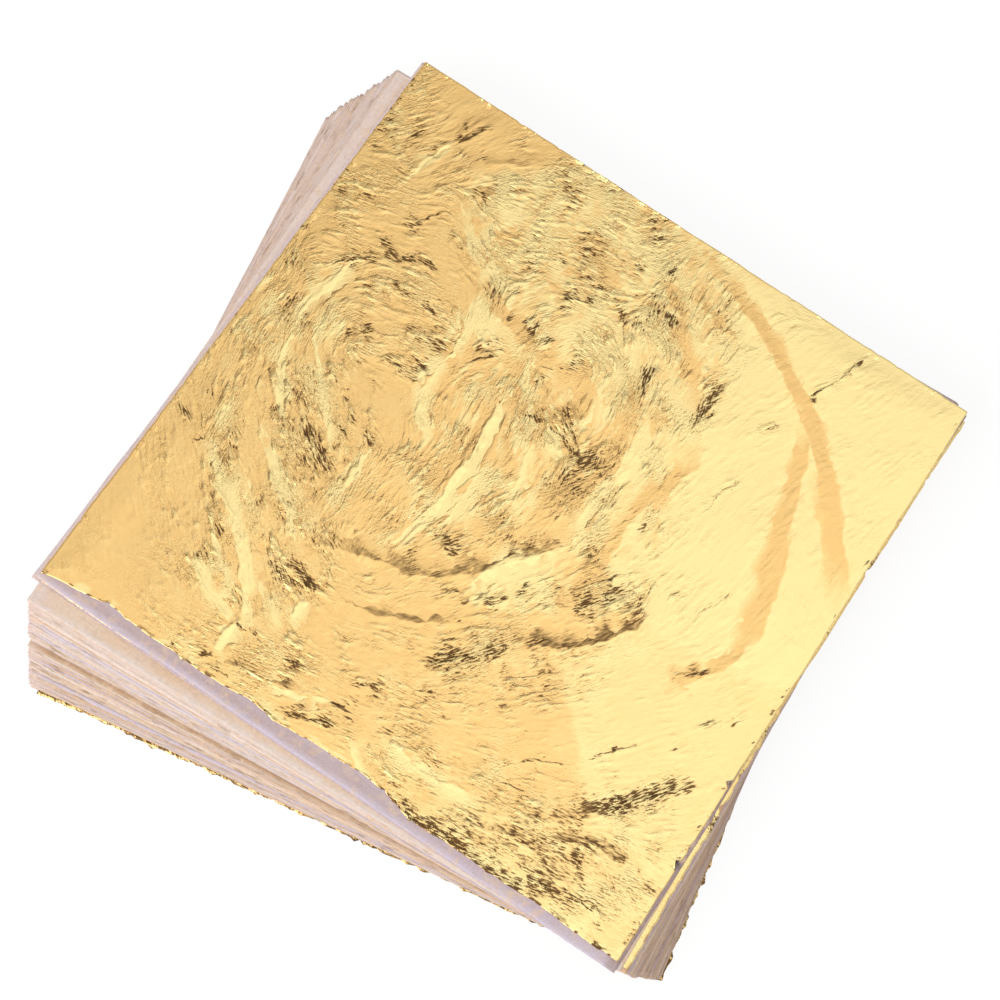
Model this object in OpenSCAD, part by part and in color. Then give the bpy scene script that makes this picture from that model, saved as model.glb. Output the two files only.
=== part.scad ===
// Loose pile of square metal leaves, each lying on its own sheet of soft tissue.
// The pile has slid into a fan, so every pair is turned a little further than the pair under it.
// The origin is the middle of the lowest tissue's underside, and +Z goes up through the pile.
// The front edge of the lowest tissue faces -Y.
// Pairs are counted from the top of the pile down, and so are the packs under the single pairs.

/* [Sheets] */
// Side of one square metal leaf
leaf_side = 140; // [100:1:150]
// Height that one crinkled leaf takes up in the pile
leaf_t = 0.035; // [0.02:0.005:0.1]
// How far a tissue reaches past its leaf on each side
tissue_margin = 1; // [0.5:0.25:8]
// Height that one soft tissue takes up in the pile
tissue_t = 0.075; // [0.03:0.005:0.2]
// Air between a sheet and the sheet under it
air_gap = 0.005; // [0.002:0.001:0.02]
// Pairs in each pack under the single pairs
pack_pairs = 10; // [2:1:12]

/* [Fan] */
// Place along X of the point that the fan turns about
pivot_x = 38; // [0:1:60]
// Place along Y of the point that the fan turns about
pivot_y = -12; // [-60:1:20]
// Turn of each sheet against the sheet under it, in degrees clockwise from above
sheet_turn = 0.035; // [0:0.001:0.06]
// Extra turn where the top pairs have slipped on the rest, in degrees
upper_slip_turn = 2.2; // [0:0.1:4]
// Pairs over the upper slip, the lowest of them with its leaf only
pairs_over_slip = 3; // [1:1:9]
// Extra turn where the upper packs have slipped on the lower packs, in degrees
lower_slip_turn = 0.4; // [0:0.1:2]
// Packs under the lower slip
packs_under_slip = 5; // [1:1:8]

/* [Disorder] */
// Farthest that a tissue lies from its place in the fan, along each side
tissue_stray = 0.35; // [0:0.05:1]
// Farthest that a leaf lies from its place in the fan, along each side
leaf_stray = 0.7; // [0:0.05:1.5]
// Farthest that a sheet is turned from its place in the fan, in degrees
turn_stray = 0.15; // [0:0.01:0.5]
// Pattern of the disorder
stray_seed = 2; // [1:1:99]
// How far the top leaf has slid to the right
top_leaf_right = 0.2; // [0:0.1:2]
// How far the top leaf has slid to the back
top_leaf_back = 1.1; // [0:0.1:3]
// How far the top leaf is turned back against the fan, in degrees
top_leaf_turn = 0.3; // [0:0.05:2]
// How far the first leaf under the upper slip has slid to the right
slip_leaf_right = 1.2; // [0:0.1:4]
// How far the lowest leaf has slid to the front
lowest_leaf_front = 1.6; // [0:0.1:3]

/* [Torn edge] */
// Depth of the larger nick in the top leaf's right edge
large_nick_depth = 2.2; // [0.5:0.1:5]
// Length of the larger nick along the edge
large_nick_length = 2.6; // [0.5:0.1:6]
// Distance of the larger nick from the leaf's front edge
large_nick_y = 23; // [5:0.5:60]
// Depth of the smaller nick in the top leaf's right edge
small_nick_depth = 1.2; // [0.5:0.1:3]
// Length of the smaller nick along the edge
small_nick_length = 2; // [0.5:0.1:5]
// Distance of the smaller nick from the leaf's front edge
small_nick_y = 43; // [5:0.5:90]

/* [Hidden] */
// Side of one square tissue
tissue_side = leaf_side + 2 * tissue_margin;
// Pairs at the top that have a node for each sheet, and packs under them
single_pairs = 10;
packs = 9;
pairs = single_pairs + packs * pack_pairs;
// Height from one pair to the next
pair_pitch = tissue_t + air_gap + leaf_t + air_gap;

leaf_color = [0.98, 0.82, 0.5];
tissue_color = [0.9, 0.86, 0.87];

// Names of the nodes, from the top of the pile down
SINGLES = [for (pair = [1 : single_pairs]) each [str("leaf_", pair), str("tissue_", pair)]];
PACKS = [for (pack = [1 : packs]) each [str("pack_", pack, "_leaves"), str("pack_", pack, "_tissues")]];

// Sheets that lie under a pair's tissue, and under its leaf
function under_tissue(pair) = 2 * (pairs - pair);
function under_leaf(pair) = under_tissue(pair) + 1;

// The upper slip lies between a leaf and its own tissue, the lower slip between two packs
upper_slip = under_leaf(pairs_over_slip);
lower_slip = 2 * packs_under_slip * pack_pairs;

// Turn of a sheet in the fan, in degrees, with the slips that lie under it
function fan_turn(under) = under * sheet_turn
    + (under >= lower_slip ? lower_slip_turn : 0)
    + (under >= upper_slip ? upper_slip_turn : 0);

// Place of a sheet counted from the top of the pile, from the number of sheets under it
function from_top(under) = 2 * pairs - 1 - under;

// Disorder from -1 to 1 for each sheet from the top down: to the right, to the back and in turn
stray_right = rands(-1, 1, 2 * pairs, stray_seed);
stray_back = rands(-1, 1, 2 * pairs, stray_seed + 1);
stray_turn = rands(-1, 1, 2 * pairs, stray_seed + 2);

// Direction and size of a sheet's own slide, from -1 to 1 along each side
function stray(under) = [stray_right[from_top(under)], stray_back[from_top(under)], 0];

// How far a tissue has slid from its place, and the lowest one marks the origin
function tissue_slide(pair) =
    pair == pairs ? [0, 0, 0]
    : tissue_stray * stray(under_tissue(pair));

// How far a leaf has slid from its place
function leaf_slide(pair) =
    pair == 1 ? [top_leaf_right, top_leaf_back, 0]
    : pair == pairs_over_slip + 1 ? [slip_leaf_right, 0, 0]
    : pair == pairs ? [lowest_leaf_front / 2, -lowest_leaf_front, 0]
    : leaf_stray * stray(under_leaf(pair));

// How far a sheet is turned from its place, in degrees, and the lowest one lies true
function own_turn(under) =
    under == 0 ? 0
    : under == under_leaf(1) ? top_leaf_turn
    : turn_stray * stray_turn[from_top(under)];

// Slides and turns a sheet, and puts it at its place in the fan
module in_fan(under, slide) {
    translate([pivot_x, pivot_y, 0])
        rotate([0, 0, -fan_turn(under)])
            translate([-pivot_x, -pivot_y, 0])
                translate(slide)
                    rotate([0, 0, own_turn(under)])
                        children();
}

// Square sheet with its underside at z = 0
module sheet(side, thickness) {
    translate([-side / 2, -side / 2, 0])
        cube([side, side, thickness]);
}

// Triangular nick that points into a sheet from its right edge
module nick(side, thickness, depth, length, from_front) {
    mouth = length / 2;
    translate([side / 2, from_front - side / 2, -air_gap])
        linear_extrude(thickness + 2 * air_gap)
            polygon([[0, -mouth], [air_gap, -mouth], [air_gap, mouth], [0, mouth], [-depth, 0]]);
}

// Height of the underside of a pair's tissue, and of its leaf
function tissue_z(pair) = (pairs - pair) * pair_pitch;
function leaf_z(pair) = tissue_z(pair) + tissue_t + air_gap;

module tissue(pair) {
    color(tissue_color)
        translate([0, 0, tissue_z(pair)])
            in_fan(under_tissue(pair), tissue_slide(pair))
                sheet(tissue_side, tissue_t);
}

module leaf(pair) {
    color(leaf_color)
        translate([0, 0, leaf_z(pair)])
            in_fan(under_leaf(pair), leaf_slide(pair))
                sheet(leaf_side, leaf_t);
}

// The top leaf lies in full sight, so the nicks in its right edge show
module top_leaf() {
    color(leaf_color)
        translate([0, 0, leaf_z(1)])
            in_fan(under_leaf(1), leaf_slide(1))
                difference() {
                    sheet(leaf_side, leaf_t);
                    nick(leaf_side, leaf_t, large_nick_depth, large_nick_length, large_nick_y);
                    nick(leaf_side, leaf_t, small_nick_depth, small_nick_length, small_nick_y);
                }
}

module single_leaf(pair) {
    if (pair == 1) top_leaf();
    else leaf(pair);
}

// The pairs of one pack, from its top pair down
function pack_range(pack) =
    let (first = single_pairs + (pack - 1) * pack_pairs + 1)
    [first : first + pack_pairs - 1];

module pack_leaves(pack) {
    for (pair = pack_range(pack)) leaf(pair);
}

module pack_tissues(pack) {
    for (pair = pack_range(pack)) tissue(pair);
}

for (pair = [1 : single_pairs]) {
    single_leaf(pair);
    tissue(pair);
}
for (pack = [1 : packs]) {
    pack_leaves(pack);
    pack_tissues(pack);
}
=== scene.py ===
"""Looks of the loose pile of metal leaf: a detailed thin sheet, or ten of them, for each CAD node."""

import math

import bpy
import numpy as np
from mathutils import Matrix, Vector


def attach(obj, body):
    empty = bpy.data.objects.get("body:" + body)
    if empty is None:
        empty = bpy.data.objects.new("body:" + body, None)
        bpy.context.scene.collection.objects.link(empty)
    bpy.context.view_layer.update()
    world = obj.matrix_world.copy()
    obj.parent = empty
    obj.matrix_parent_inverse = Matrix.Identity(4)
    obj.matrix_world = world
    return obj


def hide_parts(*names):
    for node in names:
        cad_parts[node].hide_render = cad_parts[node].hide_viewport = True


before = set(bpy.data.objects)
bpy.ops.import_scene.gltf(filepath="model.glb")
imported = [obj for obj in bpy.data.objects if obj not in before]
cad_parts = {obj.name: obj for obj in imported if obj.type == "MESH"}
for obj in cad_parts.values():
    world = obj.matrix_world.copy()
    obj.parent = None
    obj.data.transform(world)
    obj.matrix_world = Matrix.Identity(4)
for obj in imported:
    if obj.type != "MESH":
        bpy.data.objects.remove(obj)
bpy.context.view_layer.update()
MM = 0.001

# Camera, fitted to the outlines of the sheets in the photograph. Places are in millimetres.
PHOTO_SIDE = 1000
PIXEL_MM = 0.217
FOCAL_PX = 2500.0
SENSOR_MM = 36.0
CAMERA_AZIMUTH = math.radians(6.86)
CAMERA_ELEVATION = math.radians(73.02)
CAMERA_ROLL = math.radians(18.03)
CAMERA_DISTANCE = 533.69
CAMERA_TARGET = np.array([-0.05, 7.39, 0.0])


def camera_axes():
    """Right, up and back of the camera in the frame of the part."""
    sin_az, cos_az = math.sin(CAMERA_AZIMUTH), math.cos(CAMERA_AZIMUTH)
    sin_el, cos_el = math.sin(CAMERA_ELEVATION), math.cos(CAMERA_ELEVATION)
    back = np.array([sin_az * cos_el, -cos_az * cos_el, sin_el])
    level = np.array([cos_az, sin_az, 0.0])
    upright = np.cross(back, level)
    sin_roll, cos_roll = math.sin(CAMERA_ROLL), math.cos(CAMERA_ROLL)
    return level * cos_roll + upright * sin_roll, upright * cos_roll - level * sin_roll, back


RIGHT, UP, BACK = camera_axes()
CAMERA_PLACE = CAMERA_TARGET + BACK * CAMERA_DISTANCE


def to_photo(points):
    """Pixels of the photograph for points."""
    seen = np.asarray(points, float) - CAMERA_PLACE
    depth = -(seen @ BACK)
    across, along = seen @ RIGHT / depth, seen @ UP / depth
    return np.stack([PHOTO_SIDE / 2 + FOCAL_PX * across, PHOTO_SIDE / 2 - FOCAL_PX * along], -1)


# Noise
LATTICE = 256
NOISE_GAIN = 1.5
RIDGE_GAIN = 2.2
ROW = 0.5


def smooth_step(x, low=0.0, high=1.0):
    """0 up to low, 1 from high on, and a smooth rise between."""
    t = np.clip((x - low) / (high - low), 0, 1)
    return t * t * (3 - 2 * t)


def noise(x, y, seed):
    """Gradient noise from about -1 to 1, with features one unit wide."""
    angle = np.random.default_rng(seed).uniform(0, 2 * math.pi, (LATTICE, LATTICE))
    cell_x, cell_y = np.floor(x).astype(int), np.floor(y).astype(int)
    in_x, in_y = x - cell_x, y - cell_y
    fade_x, fade_y = smooth_step(in_x), smooth_step(in_y)
    total = 0.0
    for i, weight_x in ((0, 1 - fade_x), (1, fade_x)):
        for j, weight_y in ((0, 1 - fade_y), (1, fade_y)):
            a = angle[(cell_x + i) % LATTICE, (cell_y + j) % LATTICE]
            total = total + weight_x * weight_y * (np.cos(a) * (in_x - i) + np.sin(a) * (in_y - j))
    return total * NOISE_GAIN


def stirred(value, x, y, layers, seed):
    """A value with noises added to it, each of them (reach, length of its waves)."""
    for i, (reach, wave) in enumerate(layers):
        value = value + reach * noise(x / wave, y / wave, seed + i)
    return value


def ridges(x, y, wave, seed):
    """Sharp crests from 0 to 1, as foil folds."""
    return 1 - np.minimum(1, np.abs(noise(x / wave, y / wave, seed)) * RIDGE_GAIN)


def along_only(run, seed):
    """Noise that changes with one length only."""
    return noise(run, np.full_like(run, ROW), seed)


# Meshes
def border_walk(start, cells):
    """Vertices on the border of a square grid of cells, once round from its first corner."""
    row = cells + 1
    walk = [start + i for i in range(cells)]
    walk += [start + cells + row * i for i in range(cells)]
    walk += [start + row * row - 1 - i for i in range(cells)]
    walk += [start + row * (cells - i) for i in range(cells)]
    return np.array(walk)


def layout(rings, fine, core):
    """One face of a sheet: its places as shares of the two sides, its faces, and its border.
    rings are the insets of loops of 4 * fine points round a core grid with core cells a side."""
    places, quads, triangles, loops = [], [], [], []
    count = 4 * fine
    after = np.roll(np.arange(count), -1)
    steps = np.arange(fine) / fine
    for inset in rings:
        low, high = inset, 1 - inset
        ends = [(low, low), (high, low), (high, high), (low, high)]
        loops.append(len(loops) * count + np.arange(count))
        for k in range(4):
            a, b = np.array(ends[k]), np.array(ends[(k + 1) % 4])
            places.append(a + (b - a) * steps[:, None])
    for outer, inner in zip(loops, loops[1:]):
        quads.append(np.stack([outer, outer[after], inner[after], inner], -1))
    low = rings[-1] + 0.5 / core if rings else 0.0
    line = np.linspace(low, 1 - low, core + 1)
    v, u = np.meshgrid(line, line, indexing="ij")
    places.append(np.stack([u.ravel(), v.ravel()], -1))
    start, row = count * len(rings), core + 1
    a = (start + np.arange(core)[:, None] * row + np.arange(core)).ravel()
    quads.append(np.stack([a, a + 1, a + row + 1, a + row], -1))
    edge = border_walk(start, core)
    if rings:
        each, last = fine // core, loops[-1]
        i = np.arange(count)
        apex = edge[(i // each + (i % each >= each // 2)) % (4 * core)]
        triangles.append(np.stack([last, last[after], apex], -1))
        j = np.arange(4 * core)
        middle = last[(j * each + each // 2) % count]
        triangles.append(np.stack([middle, edge[(j + 1) % (4 * core)], edge], -1))
    faces = [np.concatenate(quads), np.concatenate(triangles) if triangles else np.zeros((0, 3), int)]
    return np.concatenate(places), faces, loops[0] if rings else edge


def closed(top, under):
    """Faces of a closed sheet from its two sides, whose borders have as many points."""
    (top_uv, (top_q, top_t), top_rim), (_, (under_q, under_t), under_rim) = top, under
    more = len(top_uv)
    rim = np.stack([top_rim, under_rim + more, np.roll(under_rim, -1) + more, np.roll(top_rim, -1)], -1)
    quads = np.concatenate([top_q, under_q[:, ::-1] + more, rim])
    return quads, np.concatenate([top_t, under_t[:, ::-1] + more])


def make_piece(name, points, quads, triangles, values):
    """An object of that mesh, with a number or a vector per vertex for each name in values."""
    mesh = bpy.data.meshes.new(name)
    corners = np.concatenate([quads.ravel(), triangles.ravel()])
    sizes = np.concatenate([np.full(len(quads), 4), np.full(len(triangles), 3)])
    mesh.vertices.add(len(points))
    mesh.vertices.foreach_set("co", (points * MM).astype(np.float32).ravel())
    mesh.loops.add(len(corners))
    mesh.loops.foreach_set("vertex_index", corners.astype(np.int32))
    mesh.polygons.add(len(sizes))
    mesh.polygons.foreach_set("loop_start", (np.cumsum(sizes) - sizes).astype(np.int32))
    mesh.polygons.foreach_set("use_smooth", np.ones(len(sizes), bool))
    for key, value in values.items():
        kind, field = ("FLOAT", "value") if value.ndim == 1 else ("FLOAT_VECTOR", "vector")
        mesh.attributes.new(key, kind, "POINT").data.foreach_set(field, value.astype(np.float32).ravel())
    mesh.update(calc_edges=True)
    piece = bpy.data.objects.new(name, mesh)
    bpy.context.scene.collection.objects.link(piece)
    return piece


# The sheets of the frame
WAYS = np.array([(-1, -1), (1, -1), (1, 1), (-1, 1)])
LEVEL_SLACK = 0.002


def sheets_of(node):
    """Four corners, from the front left one round, of each sheet in a node, from the top down."""
    co = np.array([v.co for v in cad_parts[node].data.vertices]) / MM
    levels = np.unique(np.round(co[:, 2], 3))
    found = []
    for level in levels[1::2]:
        xy = co[np.abs(co[:, 2] - level) < LEVEL_SLACK][:, :2]
        found.append(np.array([xy[np.argmax(xy @ way)] for way in WAYS]))
    return found[::-1]


def spot(corners, uv):
    """Places in the plane for shares along the two sides of a sheet."""
    u, v = uv[:, :1], uv[:, 1:]
    a, b, c, d = corners
    return a * (1 - u) * (1 - v) + b * u * (1 - v) + c * u * v + d * (1 - u) * v


# Edges of a sheet, in millimetres: the step along them, and the lengths of the slow and quick waver, the torn
# notches and the frayed tufts. Notches and tufts are what rises over a floor, times a gain.
EDGE_STEP = 0.25
EDGE_WAVES = (11, 2.6, 1.9, 2.3)
EDGE_SEEDS = (0, 900, 1800, 2700)
QUICK_SHARE = 0.5
NOTCH_FLOOR, NOTCH_GAIN = 0.5, 4
TUFT_FLOOR, TUFT_GAIN = 0.45, 3


def outline(side, seed, waver, tear, fray):
    """How far each edge wanders out, in steps along it: a slow waver, torn notches and frayed bits."""
    run = np.arange(0, side + EDGE_STEP, EDGE_STEP)
    edges = []
    for k in range(4):
        slow, quick, torn, frayed = (along_only(run / wave, seed * 4 + k + more)
                                     for wave, more in zip(EDGE_WAVES, EDGE_SEEDS))
        wander = waver * (slow + QUICK_SHARE * quick)
        notch = tear * np.clip(torn - NOTCH_FLOOR, 0, None) * NOTCH_GAIN
        tuft = fray * np.clip(frayed - TUFT_FLOOR, 0, None) * TUFT_GAIN
        edges.append(wander - notch + tuft)
    return run, edges


def deckled(corners, uv, edges, reach):
    """Places in the plane with the sheet's border moved by its outline."""
    run, wander = edges
    xy = spot(corners, uv)
    moved = xy.copy()
    u, v = uv.T
    for k, (share, depth) in enumerate(((u, v), (v, 1 - u), (1 - u, 1 - v), (1 - v, u))):
        a, b = corners[k], corners[(k + 1) % 4]
        side = np.linalg.norm(b - a)
        way = (b - a) / side
        fade = np.clip(1 - depth * side / reach, 0, 1) ** 2
        moved += np.outer(np.interp(share * side, run, wander[k]) * fade, (way[1], -way[0]))
    return moved


# Heights in the pile: the air between the sheets comes and goes, and their order never changes.
# A pair takes up its least share and some air, of which a part is shared by pairs that lie together.
PAIRS = 100
PILE_RISE = 11.45
TISSUE_THICK = 0.045
LEAF_THICK = 0.012
AIR_STEP = 4.0
AIR_CELLS = 52
AIR_START = -102.0
AIR_WAVE = 24.0
AIR_LEAST, AIR_SHARED, AIR_OWN = 0.1, 0.19, 0.13
SHARED_SEED, SHARING_PAIRS = 40, 4
OWN_SEED, OWN_SQUEEZE = 400, 1.4
PAIR_LEAST = 0.9


def pile_heights():
    """Height of each pair's underside on a lattice over the pile, from the lowest pair up."""
    line = (np.arange(AIR_CELLS) * AIR_STEP + AIR_START) / AIR_WAVE
    x, y = np.meshgrid(line, line, indexing="ij")
    pitch = []
    for k in range(PAIRS):
        shared = noise(x, y, SHARED_SEED + k // SHARING_PAIRS)
        own = noise(x * OWN_SQUEEZE, y * OWN_SQUEEZE, OWN_SEED + k)
        pitch.append(PAIR_LEAST + np.clip(AIR_LEAST + AIR_SHARED * shared + AIR_OWN * own, 0, None))
    rise = np.concatenate([np.zeros((1, AIR_CELLS, AIR_CELLS)), np.cumsum(pitch, 0)])
    return rise / rise[-1] * PILE_RISE


RISE = pile_heights()


def height_of(level, xy):
    """Height of the underside of the pair with that many pairs under it, at each place."""
    at = np.clip((xy - AIR_START) / AIR_STEP, 0, AIR_CELLS - 1.001)
    cell = at.astype(int)
    (i, j), f = cell.T, smooth_step(at - cell)
    field = RISE[level]
    front = field[i, j] * (1 - f[:, 0]) + field[i + 1, j] * f[:, 0]
    rear = field[i, j + 1] * (1 - f[:, 0]) + field[i + 1, j + 1] * f[:, 0]
    return front * (1 - f[:, 1]) + rear * f[:, 1]


# The top leaf. Everything on it is placed in pixels of the photograph.
def drawn(rows):
    """Rows of numbers as their first two, and the places that follow, given as x, y, x, y and so on."""
    return [(first, second, np.array(rest, float).reshape(-1, 2)) for first, second, *rest in rows]


# Creases, dark with painted shade on a tilted strip: width, strength, line
CREASES = drawn([
    # upper part
    (3, .7, 398,227, 412,226, 431,217, 447,212), (5, 1, 377,238, 388,242, 395,257, 404,258, 416,256),
    (7, .6, 416,256, 428,262, 440,277), (3, .8, 391,277, 400,288, 411,297),
    (4, 1, 419,300, 426,306, 437,316), (4, .7, 420,283, 430,290, 448,303),
    (3, .5, 448,237, 460,243, 467,254), (3, .9, 353,329, 370,328, 375,331),
    (4, .9, 375,333, 395,335, 420,340, 440,345, 458,354), (3, .6, 403,325, 425,336, 440,345),
    (3, .7, 440,333, 450,342, 460,346), (5, .8, 376,357, 388,358, 404,374, 416,379, 425,382),
    (3, .8, 413,352, 420,364, 430,374, 436,377), (2, .4, 355,300, 368,315), (4, .7, 293,250, 296,270),
    (5, .8, 303,272, 313,276, 322,283), (5, .9, 333,258, 345,258, 375,260), (4, .8, 308,222, 302,230),
    (5, .8, 646,241, 662,238), (4, .7, 668,277, 677,266), (5, 1, 637,322, 645,320, 654,314),
    (8, 1, 667,325, 677,319), (3, .7, 622,325, 630,318), (6, .9, 640,403, 642,390, 646,372, 655,366),
    (5, .9, 566,295, 583,299, 605,304), (3, .8, 595,287, 608,287), (3, .9, 507,318, 515,317),
    (4, .8, 521,324, 534,316), (4, .9, 528,333, 540,322), (5, 1, 541,345, 556,336),
    (3, .6, 550,352, 565,345), (3, .9, 495,335, 503,341), (3, .9, 473,353, 480,343, 492,341, 508,354),
    (3, .7, 460,362, 480,358, 505,354), (6, .6, 478,350, 495,352), (3, .6, 538,364, 560,370, 576,374),
    (3, .6, 540,375, 545,378), (5, .6, 487,395, 497,396), (5, .9, 525,414, 535,416, 545,420),
    (2, .8, 545,420, 560,435, 577,455), (2, .8, 560,417, 573,434), (6, .5, 562,412, 572,415),
    (4, .5, 428,157, 442,155), (4, .5, 473,160, 485,157), (4, .4, 514,145, 528,141),
    (3, .5, 454,144, 469,120), (3, .5, 454,144, 496,123), (3, .5, 416,150, 454,144),
    (3, .5, 464,149, 465,166),
    # left part
    (4, .9, 180,401, 189,418), (3, .8, 207,383, 211,399), (4, .6, 193,437, 207,438),
    (6, .9, 305,420, 312,440, 318,452, 326,465, 334,470), (3, .8, 336,422, 350,438),
    (3, .7, 343,395, 350,410, 356,427), (3, .8, 363,431, 380,448), (3, .7, 330,373, 345,385, 350,395),
    (2, .6, 336,475, 348,482), (4, .5, 391,455, 408,458), (3, 1, 272,568, 280,575, 291,583),
    (7, 1, 285,560, 300,570, 311,585, 321,588), (4, .9, 230,622, 250,630, 275,648),
    (6, .8, 275,650, 290,660, 305,668), (5, .8, 198,652, 212,651), (4, .7, 203,662, 215,668, 233,680),
    (7, .9, 330,702, 345,710, 360,719), (5, .8, 288,716, 300,716, 315,720, 335,726),
    (3, 1, 312,718, 334,726), (4, .8, 350,683, 366,683, 380,685), (4, .8, 345,737, 352,737),
    # middle
    (8, 1, 425,660, 440,661, 462,657, 480,651, 500,648, 510,640), (6, 1, 480,594, 487,596),
    (4, .8, 497,601, 520,592, 536,582), (3, .8, 510,606, 527,600), (5, .6, 483,600, 498,607),
    (5, .5, 432,597, 450,592, 462,590), (5, .4, 462,605, 470,595), (4, .9, 595,580, 622,574),
    (5, .9, 570,606, 580,607, 595,602), (9, .9, 572,462, 590,460, 600,456), (4, .8, 573,490, 582,492),
    (4, .9, 617,452, 622,455), (4, .7, 607,478, 611,480), (3, .8, 482,515, 492,522),
    (6, .7, 432,532, 450,545, 465,553), (4, .5, 437,540, 460,560),
    (2, .5, 405,533, 425,520, 450,507, 475,492, 500,485, 520,470, 530,455), (5, .9, 620,515, 630,518),
    (2, .5, 640,531, 650,520, 657,508),
    # right part
    (7, .8, 682,427, 695,419, 707,403, 716,390, 727,380), (3, .7, 700,425, 715,412),
    (3, .6, 703,513, 712,500, 730,489, 743,478), (3, .5, 752,434, 765,428, 785,424),
    (2, .9, 808,401, 816,392, 835,383, 850,371, 870,356), (5, .6, 808,401, 816,400),
    (2, .4, 732,588, 717,603, 701,615, 687,628), (3, .8, 699,728, 715,721), (2, .6, 727,731, 748,717),
    (3, .6, 666,753, 678,749), (4, .8, 584,760, 600,753, 620,748, 640,744),
    (3, .3, 660,738, 690,730, 720,722, 750,712), (5, 1, 672,676, 690,675, 712,668),
    # lower part
    (3, .7, 482,756, 500,763, 530,760, 560,762, 578,770), (3, .6, 500,780, 515,788, 525,792),
    (2, .4, 450,772, 470,777, 500,783), (8, 1, 590,806, 605,806, 625,801, 640,795, 655,792, 670,788,
     700,784), (6, .5, 600,815, 640,806), (5, 1, 523,874, 535,881, 548,886, 558,889),
    (6, .9, 565,892, 585,903, 600,918), (3, .5, 602,919, 596,930), (4, .6, 575,852, 582,866),
    (3, .7, 627,888, 634,893), (8, 1, 430,825, 445,838, 460,850, 472,860), (4, .8, 508,882, 520,893),
    (6, 1, 590,945, 610,955), (7, .9, 398,800, 420,818, 440,832),
])
# Smooth arcs, brown with painted shade on a tilted strip: width, strength, line
ARCS = drawn([
    (7, .8, 220,657, 250,667, 275,677, 300,690), (7, .7, 332,587, 350,601, 370,609, 390,613, 420,619,
     465,617), (12, .7, 309,526, 330,540, 350,545, 390,557, 410,566, 430,571, 460,568, 490,564, 520,553,
     576,534), (11, .8, 510,640, 530,637, 560,643, 590,638, 612,632, 635,624, 642,605, 646,597),
    (8, .6, 520,812, 545,815, 580,812, 600,808), (8, .6, 480,822, 500,828, 530,838, 555,834, 600,842,
     635,870, 650,885), (9, .35, 440,170, 480,160, 520,158, 545,160), (12, .3, 455,130, 500,112),
])
# Pale ribs that catch the light, on the left, pale with painted highlight on a tilted strip: width, strength,
# line
LEFT_RIBS = drawn([
    (8, .9, 365,262, 350,270, 343,278, 330,290, 315,300, 305,312, 298,325, 293,335),
    (6, .9, 288,340, 281,364, 280,390, 282,410, 286,424), (7, .9, 327,318, 317,328, 315,340, 320,360,
     323,395, 327,412, 332,450), (4, .8, 345,322, 325,337), (8, .9, 263,430, 268,445, 273,465, 276,480,
     282,496, 290,512, 293,525, 295,540), (8, 1.2, 214,445, 217,465, 222,485, 230,505, 236,525, 240,545,
     243,565, 247,600, 250,625), (8, 1, 195,555, 203,572, 212,590, 222,605, 232,620),
    (4, .8, 213,530, 220,560, 230,585, 240,605), (6, .8, 253,575, 262,590, 270,605, 280,625, 284,640),
    (6, .8, 218,430, 222,420, 228,400), (4, .8, 264,318, 284,290), (4, .8, 254,292, 272,274),
    (4, .8, 249,480, 245,500, 243,515), (8, .9, 240,625, 215,650), (8, .8, 306,600, 298,620),
    (4, .9, 235,665, 262,684, 290,694, 335,705), (5, .8, 355,770, 362,780, 380,800),
    (10, .8, 385,745, 400,760, 425,775, 445,790, 475,800), (5, .8, 238,702, 258,714, 275,726),
    (5, .8, 350,746, 365,775, 380,801),
])
# Pale ribs in the middle, pale with painted highlight on a tilted strip: width, strength, line
MIDDLE_RIBS = drawn([
    (10, .9, 374,446, 360,465, 348,484, 335,500, 325,510), (12, 1.1, 478,297, 470,330, 455,355, 440,372,
     420,392, 412,405), (16, .9, 484,296, 478,330, 488,350), (5, .8, 464,205, 468,225, 470,245, 474,258),
    (14, .7, 420,400, 430,440), (14, 1.2, 509,392, 496,420, 484,444, 466,468, 440,508, 412,530),
    (4, .9, 420,525, 450,505, 480,490, 510,483), (4, .8, 528,360, 524,380, 522,400),
    (5, .9, 520,425, 518,440, 513,460), (8, .8, 548,424, 553,440, 560,460),
    (12, .9, 600,395, 590,420, 580,430), (16, .9, 470,590, 500,568, 545,555),
    (14, .9, 646,416, 646,440, 630,470, 600,500, 570,530), (5, .8, 390,548, 405,532, 440,512),
    (5, .9, 454,144, 440,152, 405,180), (12, .6, 636,335, 637,362), (8, .7, 655,600, 655,615),
    (7, .7, 530,400, 535,440, 520,480, 490,520), (5, .7, 556,470, 530,500, 500,530),
])
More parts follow.
